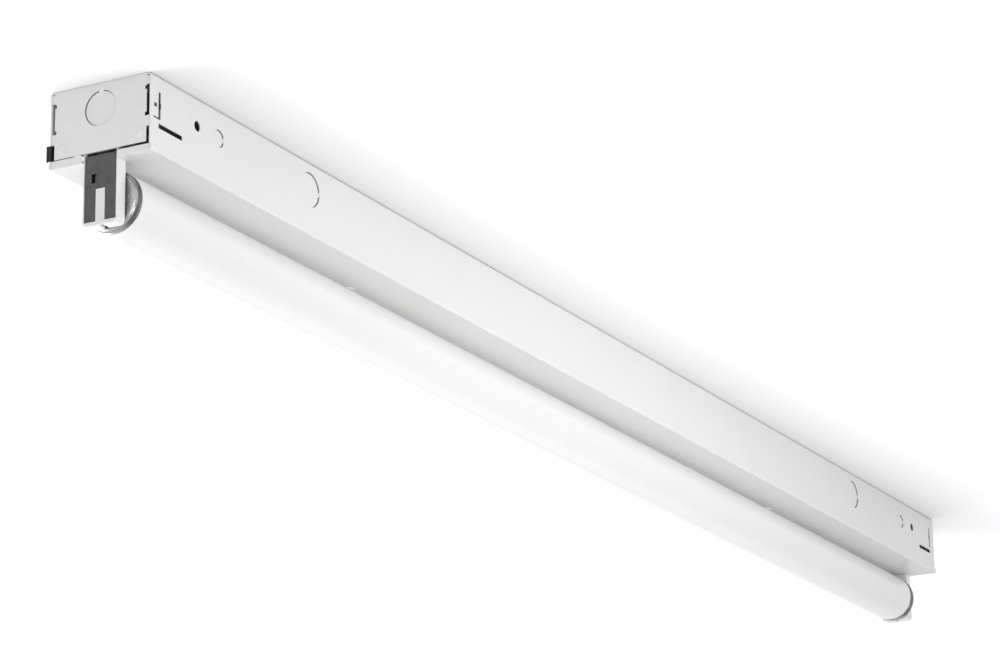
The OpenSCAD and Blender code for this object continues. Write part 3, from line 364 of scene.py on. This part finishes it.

# End plates
# Pressed from the same sheet. Two ears run back behind the plate and hook out through the
# upright slits of the side walls, and a flange holds it under the back of the channel. What lies
# behind the face is coloured near black as painted shade, so the grooves beside the plate look
# dark.


def coordinate(tree, axis):
    """A point's X, Y or Z in metres"""
    parts = tree.nodes.new("ShaderNodeSeparateXYZ")
    tree.links.new(tree.nodes.new("ShaderNodeTexCoord").outputs["Object"], parts.inputs[0])
    return parts.outputs[axis]


def distance_along(tree):
    """How far a point lies from the middle of the fixture, towards either end"""
    return maths(tree, "ABSOLUTE", coordinate(tree, "X"))


def overlay(finish, mask, colour):
    """Lays a colour over a finish where the mask is 1"""
    tree = finish.node_tree
    base = tree.nodes["Principled BSDF"].inputs["Base Color"]
    tree.links.new(mixed(tree, mask, base.links[0].from_socket, colour), base)


ends = {"left": -1, "right": 1}
dark_to, white_from = 0.6060, 0.6066
plate_enamel = enamel.copy()
plate_enamel.name = "plate_enamel"
plate_tree = plate_enamel.node_tree
# Painted shade: the sheet behind the plate's face is coloured near black
painted_shade_behind_face = remap(plate_tree, distance_along(plate_tree), dark_to, white_from, 1, 0)
overlay(plate_enamel, painted_shade_behind_face, (0.03, 0.03, 0.031))
for end in ends:
    plate = solid_of("end_plate_" + end)
    ease(plate, sheet_edge)
    piece(plate, "end_sheet_" + end, plate_enamel, "white_enamel", "fixture", "end_plate_" + end)

# Corner clips
# A small clip at each end, bent from black spring steel. It is pushed over the end of the +Y side
# wall at its lower corner and grips it.
black_spring = surface(
    "black_spring_steel", colour=(0.012, 0.012, 0.013), tint=(0.024, 0.024, 0.023),
    cloud_scale=300, rough=(0.42, 0.6), grain_scale=1500, relief=0.2, Specular_IOR_Level=0.25,
)
clip_edge = 0.1
for end in ends:
    clip = solid_of("corner_clip_" + end)
    ease(clip, clip_edge)
    piece(clip, "spring_clip_" + end, black_spring, "clip_steel", "fixture", "corner_clip_" + end)

# Ballast
# Black enamelled case on a base plate that is bolted to the back, with a laminated core, its
# windings and a capacitor set in dark compound, and a pale grommet at each end for the leads.
# The zinc finish of its studs and nuts is also that of the straps, brackets and lead clips.


def dress(finish, slot, *names):
    """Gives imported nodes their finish"""
    for name in names:
        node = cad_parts[name]
        node.data.materials.clear()
        node.data.materials.append(finish)


ballast_black = surface(
    "ballast_enamel", colour=(0.02, 0.02, 0.021), tint=(0.035, 0.035, 0.034), cloud_scale=30,
    rough=(0.28, 0.42), grain_scale=700, relief=0.3, marks=((0.12, 0.12, 0.12), 40),
)
dress(ballast_black, "ballast_black", "ballast_case", "ballast_base")
laminations = surface(
    "core_laminations", colour=(0.20, 0.20, 0.21), tint=(0.12, 0.115, 0.11), cloud_scale=60,
    rough=(0.4, 0.6), grain_scale=260, relief=0.6, metal=1.0, stretch=(0.02, 0.02, 8),
)
dress(laminations, "core_steel", "ballast_core")
windings = surface(
    "enamelled_copper", colour=(0.60, 0.26, 0.12), tint=(0.45, 0.16, 0.07), cloud_scale=50,
    rough=(0.25, 0.4), grain_scale=300, relief=0.7, metal=1.0, stretch=(0.05, 0.05, 6),
)
dress(windings, "coil_copper", "ballast_coils")
can = surface(
    "capacitor_aluminium", colour=(0.72, 0.72, 0.72), tint=(0.62, 0.62, 0.62), cloud_scale=40,
    rough=(0.3, 0.42), grain_scale=500, relief=0.3, metal=1.0, stretch=(0.05, 1, 1),
)
dress(can, "capacitor_can", "ballast_capacitor")
potting = surface(
    "potting_compound", colour=(0.05, 0.032, 0.02), tint=(0.09, 0.06, 0.04), cloud_scale=80,
    rough=(0.5, 0.75), grain_scale=350, relief=0.6,
)
dress(potting, "potting_compound", "ballast_potting")
zinc = surface(
    "zinc_plate", colour=(0.62, 0.63, 0.64), tint=(0.50, 0.51, 0.53), cloud_scale=180,
    rough=(0.28, 0.45), grain_scale=900, relief=0.3, metal=1.0,
)
dress(zinc, "zinc_steel", "ballast_studs", "ballast_nuts", "latch_strap_left", "latch_strap_right")
dress(zinc, "zinc_steel", "lampholder_bracket_left", "lampholder_bracket_right", "lead_clips")
nylon = surface(
    "pale_nylon", colour=(0.72, 0.70, 0.64), tint=(0.66, 0.64, 0.58), cloud_scale=120,
    rough=(0.4, 0.55), grain_scale=1200, relief=0.3, Subsurface_Weight=0.1,
    Subsurface_Scale=0.001,
)
dress(nylon, "washer_nylon", "ballast_grommets")

# Ground screw
# Hexagonal steel screw, passivated green so that it is known as the earth, in an extruded and
# tapped collar of the back.
green_screw = surface(
    "green_passivate", colour=(0.06, 0.30, 0.10), tint=(0.04, 0.20, 0.07), cloud_scale=200,
    rough=(0.3, 0.45), grain_scale=900, relief=0.3, metal=0.6,
)
dress(green_screw, "ground_green", "ground_screw")

# Leads
# Solid copper wires in coloured insulation. They lie in pairs on the lips of the channel from the
# ballast to the lampholders, and the supply pair ends in two twist-on connectors.
lead_radius = 1.2
exit_x, exit_z = -103.2, -30.0
pair_y, pair_z = 1.6, 2
lip_z, lip_y = -44.75, (32.875, 30.425)


def rounded_route(corners, bend=12, steps=6):
    """Points of a line through the corners, with its bends rounded"""
    points = [Vector(corners[0])]
    for a, b, c in zip(map(Vector, corners), map(Vector, corners[1:]), map(Vector, corners[2:])):
        start = b + (a - b).normalized() * min(bend, 0.45 * (a - b).length)
        stop = b + (c - b).normalized() * min(bend, 0.45 * (c - b).length)
        for t in (i / steps for i in range(steps + 1)):
            points.append(start.lerp(b, t).lerp(b.lerp(stop, t), t))
    return points + [Vector(corners[-1])]


def leads(name, routes, finish, slot, node, side=-1):
    """Draws wires along their routes as one piece"""
    line = bpy.data.curves.new(name, "CURVE")
    line.dimensions = "3D"
    line.bevel_depth = lead_radius
    line.bevel_resolution = 3
    line.use_fill_caps = True
    for corners in routes:
        points = rounded_route(corners)
        spline = line.splines.new("POLY")
        spline.points.add(len(points) - 1)
        for dot, point in zip(spline.points, points):
            dot.co = (*point, 1)
    wire = bpy.data.objects.new(name + "_line", line)
    scene.collection.objects.link(wire)
    bm = bmesh.new()
    bm.from_mesh(wire.evaluated_get(bpy.context.evaluated_depsgraph_get()).to_mesh())
    bpy.data.objects.remove(wire)
    bmesh.ops.remove_doubles(bm, verts=bm.verts, dist=0.001)
    piece(bm, name, finish, slot, "fixture", node, side=side)


def lamp_route(lane):
    """From the ballast to a lampholder. Lane 0 lies on the side wall, lane 1 beside it."""
    way = 1 - 2 * lane
    leave_x, leave_y, leave_z = -127 - 6 * lane, pair_y * way, exit_z + pair_z
    land_x = -155 - 6 * lane
    turn_x, high_z = -574.3 + 12 * lane, -20.4 + 3 * lane
    neck_x, neck_y, neck_z = -604.3, 5.875 * way, -41.25
    return [
        (exit_x, leave_y, leave_z), (leave_x, leave_y, leave_z),
        (land_x, lip_y[lane], lip_z), (turn_x + 24, lip_y[lane], lip_z),
        (turn_x, neck_y, high_z), (neck_x, neck_y, high_z), (neck_x, neck_y, neck_z),
    ]


def supply_route(lane):
    """From the ballast along the other side wall to a twist-on connector"""
    way = 2 * lane - 1
    leave_x, leave_y, leave_z = -125 - 8 * lane, pair_y * way, exit_z - pair_z
    land_x, lift_x = -149 - 8 * lane, -212 + 24 * lane
    nut_mouth, nut_end, nut_y, nut_z = -236, -273, 8 * way, -41.75
    return [
        (exit_x, leave_y, leave_z), (leave_x, leave_y, leave_z),
        (land_x, -lip_y[lane], lip_z), (lift_x, -lip_y[lane], lip_z),
        (nut_mouth, nut_y, nut_z), (nut_end, nut_y, nut_z),
    ]


def insulation(name, colour, tint):
    return surface(
        name, colour, tint, cloud_scale=60, rough=(0.35, 0.5), grain_scale=700, relief=0.25,
        Coat_Weight=0.15, Coat_Roughness=0.3,
    )


blue = insulation("blue_insulation", (0.02, 0.07, 0.34), (0.015, 0.05, 0.26))
red = insulation("red_insulation", (0.45, 0.03, 0.03), (0.34, 0.02, 0.02))
black = insulation("black_insulation", (0.02, 0.02, 0.02), (0.035, 0.035, 0.035))
white = insulation("white_insulation", (0.78, 0.78, 0.76), (0.70, 0.70, 0.67))
leads("blue_wires", [lamp_route(0), lamp_route(1)], blue, "lead_blue", "blue_leads")
leads("red_wires", [lamp_route(0), lamp_route(1)], red, "lead_red", "red_leads", side=1)
leads("black_wire", [supply_route(0)], black, "lead_black", "black_lead")
leads("white_wire", [supply_route(1)], white, "lead_white", "white_lead")
orange = surface(
    "orange_connector", colour=(0.75, 0.22, 0.03), tint=(0.62, 0.16, 0.02), cloud_scale=150,
    rough=(0.4, 0.55), grain_scale=1500, relief=0.3,
)
dress(orange, "connector_orange", "wire_connectors")

# Bracket rivets
# Two round-headed steel rivets hold each lampholder bracket on its end plate. They are closed
# before the plate is coated, so the white enamel lies over them too.


def arc(x, r, radius, start, stop, steps):
    """Points (x, r) on part of a circle about (x, r), its angles in degrees"""
    turns = (math.radians(start + (stop - start) * i / steps) for i in range(steps + 1))
    return [(x + radius * math.cos(t), r + radius * math.sin(t)) for t in turns]


def turned(outline, centre, steps, closed=False):
    """Spins an outline of (x, r) points about an axis along X through the centre (y, z)"""
    bm = bmesh.new()
    dots = [bm.verts.new((x, centre[0], centre[1] + r)) for x, r in outline]
    pairs = list(zip(dots, dots[1:])) + ([(dots[-1], dots[0])] if closed else [])
    lines = [bm.edges.new(pair) for pair in pairs]
    bmesh.ops.spin(
        bm, geom=dots + lines, cent=(0, *centre), axis=(1, 0, 0), dvec=(0, 0, 0),
        angle=2 * math.pi, steps=steps, use_merge=True, use_duplicate=False,
    )
    bmesh.ops.remove_doubles(bm, verts=bm.verts, dist=0.0005)
    return bm


def joined(*shapes):
    """Puts several shapes into one"""
    whole = shapes[0]
    for shape in shapes[1:]:
        mesh = bpy.data.meshes.new("joining")
        shape.to_mesh(mesh)
        shape.free()
        whole.from_mesh(mesh)
        bpy.data.meshes.remove(mesh)
    return whole


rivet_y, rivet_z = 27.525, -35.7
rivet_outline = (
    [(-610.1, 0), (-610.1, 1.2)] + arc(-609.6, 1.6, 0.5, 180, 100, 4)[1:]
    + [(-609.65, 2.4), (-609.6, 2.5), (-609.6, 1.6), (-607.8, 1.6), (-607.8, 2.4)]
    + [(-607.4, 2.4), (-607.3, 2.0), (-607.3, 0)]
)
for end, side in ends.items():
    rivets = joined(*(turned(rivet_outline, (y, rivet_z), 28) for y in (-rivet_y, rivet_y)))
    node = "bracket_rivets_" + end
    piece(rivets, "rivet_pair_" + end, enamel, "white_enamel", "fixture", node, side=side)

# Lampholders
# White moulded bodies, open at the back, that hold the lamp by its pins. Each has a dark insert
# with the contact strips, and a neck that slides up into its bracket.

# Painted shade in corners. Open goes from 0 deep in a corner to 1 on an open surface.
corner, given, out = effect(
    "corner_shade", ("Colour", "colour"),
    Colour="colour", Dark="colour", Open="float", Low="float", High="float",
)
openness = remap(corner, given["Open"], given["Low"], given["High"])
corner.links.new(mixed(corner, openness, given["Dark"], given["Colour"]), out["Colour"])


def paint_corner_shade(finish, reach, low, high, dark):
    """Paints shade into a finish's colour in its corners, where something stands over it within
    the reach
    """
    tree = finish.node_tree
    near = tree.nodes.new("ShaderNodeAmbientOcclusion")
    near.samples = 8
    near.inputs["Distance"].default_value = reach
    base = tree.nodes["Principled BSDF"].inputs["Base Color"]
    shaded = place_group(
        tree, corner, Colour=base.links[0].from_socket, Dark=dark, Open=near.outputs["AO"],
        Low=low, High=high,
    )
    tree.links.new(shaded, base)


holder_white = surface(
    "holder_plastic", colour=(0.90, 0.90, 0.89), tint=(0.875, 0.875, 0.865), cloud_scale=60,
    rough=(0.32, 0.45), grain_scale=1400, relief=0.25, Subsurface_Weight=0.05,
    Subsurface_Scale=0.001,
)
insert_grey = surface(
    "insert_plastic", colour=(0.085, 0.085, 0.087), tint=(0.12, 0.12, 0.122), cloud_scale=160,
    rough=(0.5, 0.66), grain_scale=1600, relief=0.4, Specular_IOR_Level=0.35,
)
# Painted shade: the insert is coloured darker near the rim walls of the moulding
paint_corner_shade(insert_grey, reach=0.004, low=0.35, high=0.85, dark=(0.02, 0.02, 0.021))
brass = surface(
    "contact_brass", colour=(0.60, 0.52, 0.36), tint=(0.48, 0.41, 0.27), cloud_scale=200,
    rough=(0.25, 0.4), grain_scale=900, relief=0.3, metal=1.0, stretch=(1, 1, 0.1),
)
# Painted shade: the contacts are coloured darker where the insert stands over them
paint_corner_shade(brass, reach=0.004, low=0.3, high=0.8, dark=(0.03, 0.026, 0.018))
moulded_edge, insert_edge = 0.3, 0.15
for end in ends:
    body, insert = "lampholder_body_" + end, "contact_carrier_" + end
    moulding = solid_of(body)
    ease(moulding, moulded_edge)
    piece(moulding, "holder_moulding_" + end, holder_white, "holder_white", "fixture", body)
    carrier = solid_of(insert)
    ease(carrier, insert_edge)
    piece(carrier, "holder_insert_" + end, insert_grey, "carrier_grey", "fixture", insert)
    dress(brass, "contact_brass", "lamp_contacts_" + end)

# Cover
# Shallow white steel tray that snaps over the open side of the channel. Its flanges lap outside
# the side walls, a lip is turned up at each end, and it is notched there round the lampholders.


def cut(bm, tool):
    """Takes the tool out of the shape"""
    work, knife = (bpy.data.objects.new(n, bpy.data.meshes.new(n)) for n in ("work", "knife"))
    bm.to_mesh(work.data)
    tool.to_mesh(knife.data)
    tool.free()
    for made in (work, knife):
        scene.collection.objects.link(made)
    step = work.modifiers.new("cut", "BOOLEAN")
    step.object, step.operation, step.solver = knife, "DIFFERENCE", "EXACT"
    result = work.evaluated_get(bpy.context.evaluated_depsgraph_get()).to_mesh()
    bm.clear()
    bm.from_mesh(result)
    for made in (work, knife):
        bpy.data.objects.remove(made)


def box(*corners):
    """One box for each pair of opposite corners"""
    bm = bmesh.new()
    for low, high in corners:
        low, high = Vector(low), Vector(high)
        middle, spread = (low + high) / 2, Matrix.Diagonal((*(high - low), 1))
        bmesh.ops.create_cube(bm, size=1, matrix=Matrix.Translation(middle) @ spread)
    return bm


def swept(section, start, stop):
    """Closed section of (y, z) points drawn out along X"""
    bm = bmesh.new()
    dots = [bm.verts.new((start, y, z)) for y, z in section]
    face = bm.faces.new(dots)
    grown = bmesh.ops.extrude_face_region(bm, geom=[face])
    far_dots = [v for v in grown["geom"] if isinstance(v, bmesh.types.BMVert)]
    bmesh.ops.translate(bm, vec=(stop - start, 0, 0), verts=far_dots)
    bmesh.ops.recalc_face_normals(bm, faces=bm.faces)
    return bm


half_length, sheet = 609.6, 0.8
bend_y, bend_z, bend_outside, bend_inside = 34.625, -46.4, 1.2, 0.4
flange_top = -43.8
half_section = [(bend_y + bend_inside, flange_top), (bend_y + bend_outside, flange_top)]
half_section += arc(bend_y, bend_z, bend_outside, 0, -90, 5)
inner_bend = arc(bend_y, bend_z, bend_inside, -90, 0, 3)
section = (
    half_section + [(-y, z) for y, z in reversed(half_section)]
    + [(-y, z) for y, z in reversed(inner_bend)] + inner_bend
)
cover = swept(section, -half_length, half_length)

# The notches, and the lips beside them, of which the one on the +Y side is higher
notch_x, notch_y = 599.7, 12.35
cut(cover, box(
    ((-611, -notch_y, -50), (-notch_x, notch_y, -40)),
    ((notch_x, -notch_y, -50), (611, notch_y, -40)),
))
lip_out, lip_low, lip_top, lip_top_high = 33.925, -47.0, -43.6, -42.6
lips = box(*(
    ((x, low_y, lip_low), (x + sheet, high_y, top))
    for x in (-half_length, half_length - sheet)
    for low_y, high_y, top in ((-lip_out, -notch_y, lip_top), (notch_y, lip_out, lip_top_high))
))
latch_x, latch_hole_r = 330, 3.28
holes = bmesh.new()
for x in (-latch_x, latch_x):
    bmesh.ops.create_cone(
        holes, cap_ends=True, segments=48, radius1=latch_hole_r, radius2=latch_hole_r, depth=4,
        matrix=Matrix.Translation((x, 0, -47.2)),
    )
cut(cover, holes)
cover = joined(cover, lips)
ease(cover, sheet_edge, angle=40)
piece(cover, "cover_sheet", enamel, "white_enamel", "fixture", "channel_cover")

# Cover latches
# Quarter-turn latches with a screwdriver slot. The blade locks across a strap inside the channel,
# and a washer keeps the latch in the cover.


def stood(bm, low):
    """Stands a shape that was turned about X upright on the left latch's axis"""
    upright = Matrix.Translation((-latch_x, 0, low)) @ Matrix.Rotation(-math.pi / 2, 4, "Y")
    bmesh.ops.transform(bm, matrix=upright, verts=bm.verts)
    return bm


latch_steel = surface(
    "latch_enamelled_head", colour=(0.80, 0.80, 0.79), tint=(0.74, 0.74, 0.73),
    cloud_scale=160, rough=(0.3, 0.42), grain_scale=900, relief=0.3,
)
head_low, washer_low = -49.08, -46.72
latch_outline = (
    [(0, 0), (0, 4.5)] + arc(0.6, 4.9, 0.6, 180, 90, 4)[1:]
    + [(1.4, 5.5), (1.4, 3.2), (7.48, 3.2), (7.48, 0)]
)
screwdriver_slot = ((-1, -8, -0.6), (0.8, 8, 0.6))
blade_corners = ((6.08, -2.1, -7), (7.48, 2.1, 7))
washer_outline = [(0, 3.23), (0.15, 3.4), (0.15, 4.8), (0.3, 5), (0.6, 5), (0.6, 3.23)]
for end, side in ends.items():
    latch = turned(latch_outline, (0, 0), 40)
    cut(latch, box(screwdriver_slot))
    blade = box(blade_corners)
    ease(blade, 0.3)
    latch = joined(latch, blade)
    ease(latch, 0.1, angle=50)
    body, node = end + "_latch", "cover_latch_" + end
    latch = stood(latch, head_low)
    piece(latch, "latch_stud_" + end, latch_steel, "latch_steel", body, node, side=side)
    washer = stood(turned(washer_outline, (0, 0), 40, closed=True), washer_low)
    node = "latch_washer_" + end
    piece(washer, "latch_ring_" + end, nylon, "washer_nylon", "fixture", node, side=side)

# Lamp
# Glass tube coated white inside, with a metal cap cemented on each end, two brass pins in an
# insulating disc, and inside it a glass stem with a tungsten cathode at each end.
axis = (0, -69.15)
tube_glass = surface(
    "coated_glass", colour=(0.885, 0.89, 0.885), tint=(0.87, 0.875, 0.87), cloud_scale=18,
    rough=(0.32, 0.38), grain_scale=500, relief=0.05, Coat_Weight=0.6, Coat_Roughness=0.08,
    Coat_IOR=1.45,
)
half_outer = [(-597.0, 18.3), (-592.0, 18.3)] + arc(-588.6, 17.15, 1.9, 130, 90, 4)
half_inner = [(-597.0, 17.4), (-591.6, 17.4), (-589.5, 18.15)]
tube_outline = (
    half_outer + [(-x, r) for x, r in reversed(half_outer)]
    + [(-x, r) for x, r in half_inner] + list(reversed(half_inner))
)
tube = turned(tube_outline, axis, 96, closed=True)
piece(tube, "tube_shell", tube_glass, "lamp_glass", "lamp", "glass_tube")

cap_metal = surface(
    "spun_aluminium", colour=(0.46, 0.46, 0.46), tint=(0.35, 0.35, 0.355), cloud_scale=90,
    rough=(0.20, 0.32), grain_scale=700, relief=0.2, metal=1.0, stretch=(6, 0.4, 0.4),
)
# Painted shade: the cap is coloured darker beside the lampholder and under the cover
paint_corner_shade(cap_metal, reach=0.011, low=0.42, high=0.85, dark=(0.025, 0.025, 0.026))

# Painted reflection and shade: the straight rim of a cap beside the glass is coloured dark, less
# so underneath where light from below falls
rim_dark_to, bright_from = 0.5966, 0.5974
rim_lit_below, rim_dark_above = -0.0875, -0.083
cap_tree = cap_metal.node_tree
# Painted dark reflection and shade on the rim, fading out underneath
rim_painted_dark = maths(
    cap_tree, "MULTIPLY",
    remap(cap_tree, distance_along(cap_tree), rim_dark_to, bright_from, 0.85, 0),
    remap(cap_tree, coordinate(cap_tree, "Z"), rim_lit_below, rim_dark_above),
)
overlay(cap_metal, rim_painted_dark, (0.09, 0.09, 0.09))
disc_board = surface(
    "fibre_board", colour=(0.22, 0.11, 0.05), tint=(0.30, 0.17, 0.09), cloud_scale=260,
    rough=(0.55, 0.75), grain_scale=1400, relief=0.6,
)
cap_outline = (
    [(-599.7, 9.0), (-599.7, 15.2)] + arc(-597.1, 16.2, 2.6, 180, 90, 6)[1:]
    + [(-594.4, 18.8), (-594.1, 18.55), (-593.5, 18.55), (-593.2, 18.8), (-592.3, 18.8)]
    + [(-592.2, 18.7), (-592.2, 18.4), (-597.1, 18.4)]
    + arc(-597.1, 16.2, 2.2, 90, 180, 5)[1:] + [(-599.3, 9.0)]
)
board_outline = [
    (-600.0, 0), (-600.0, 8.6), (-599.8, 8.9), (-599.3, 8.95), (-599.25, 10.8), (-597.3, 11.0),
    (-597.3, 0),
]
pin_y = 6.35
pin_outline = [(-606.8, 0)] + arc(-605.9, 0.275, 0.9, 180, 90, 4) + [
    (-600.4, 1.175), (-600.35, 1.5), (-599.9, 1.5), (-599.85, 1.175), (-597.0, 1.175),
    (-597.0, 0),
]
for end, side in ends.items():
    cap = turned(cap_outline, axis, 96, closed=True)
    node = "lamp_cap_" + end
    piece(cap, "cap_shell_" + end, cap_metal, "cap_aluminium", "lamp", node, side=side)
    board = turned(board_outline, axis, 48)
    node = "pin_disc_" + end
    piece(board, "pin_board_" + end, disc_board, "disc_board", "lamp", node, side=side)
    pins = joined(*(turned(pin_outline, (y, axis[1]), 24) for y in (-pin_y, pin_y)))
    node = "lamp_pins_" + end
    piece(pins, "pin_pair_" + end, brass, "contact_brass", "lamp", node, side=side)
stem_glass = surface(
    "stem_glass", colour=(0.80, 0.84, 0.83), tint=(0.74, 0.79, 0.78), cloud_scale=60,
    rough=(0.05, 0.12), grain_scale=300, relief=0.1, Transmission_Weight=0.6,
)
dress(stem_glass, "stem_glass", "lamp_stem_left", "lamp_stem_right")
tungsten = surface(
    "coated_tungsten", colour=(0.30, 0.30, 0.30), tint=(0.55, 0.55, 0.52), cloud_scale=900,
    rough=(0.4, 0.6), grain_scale=2500, relief=0.6, metal=0.8,
)
dress(tungsten, "cathode_metal", "cathode_left", "cathode_right")
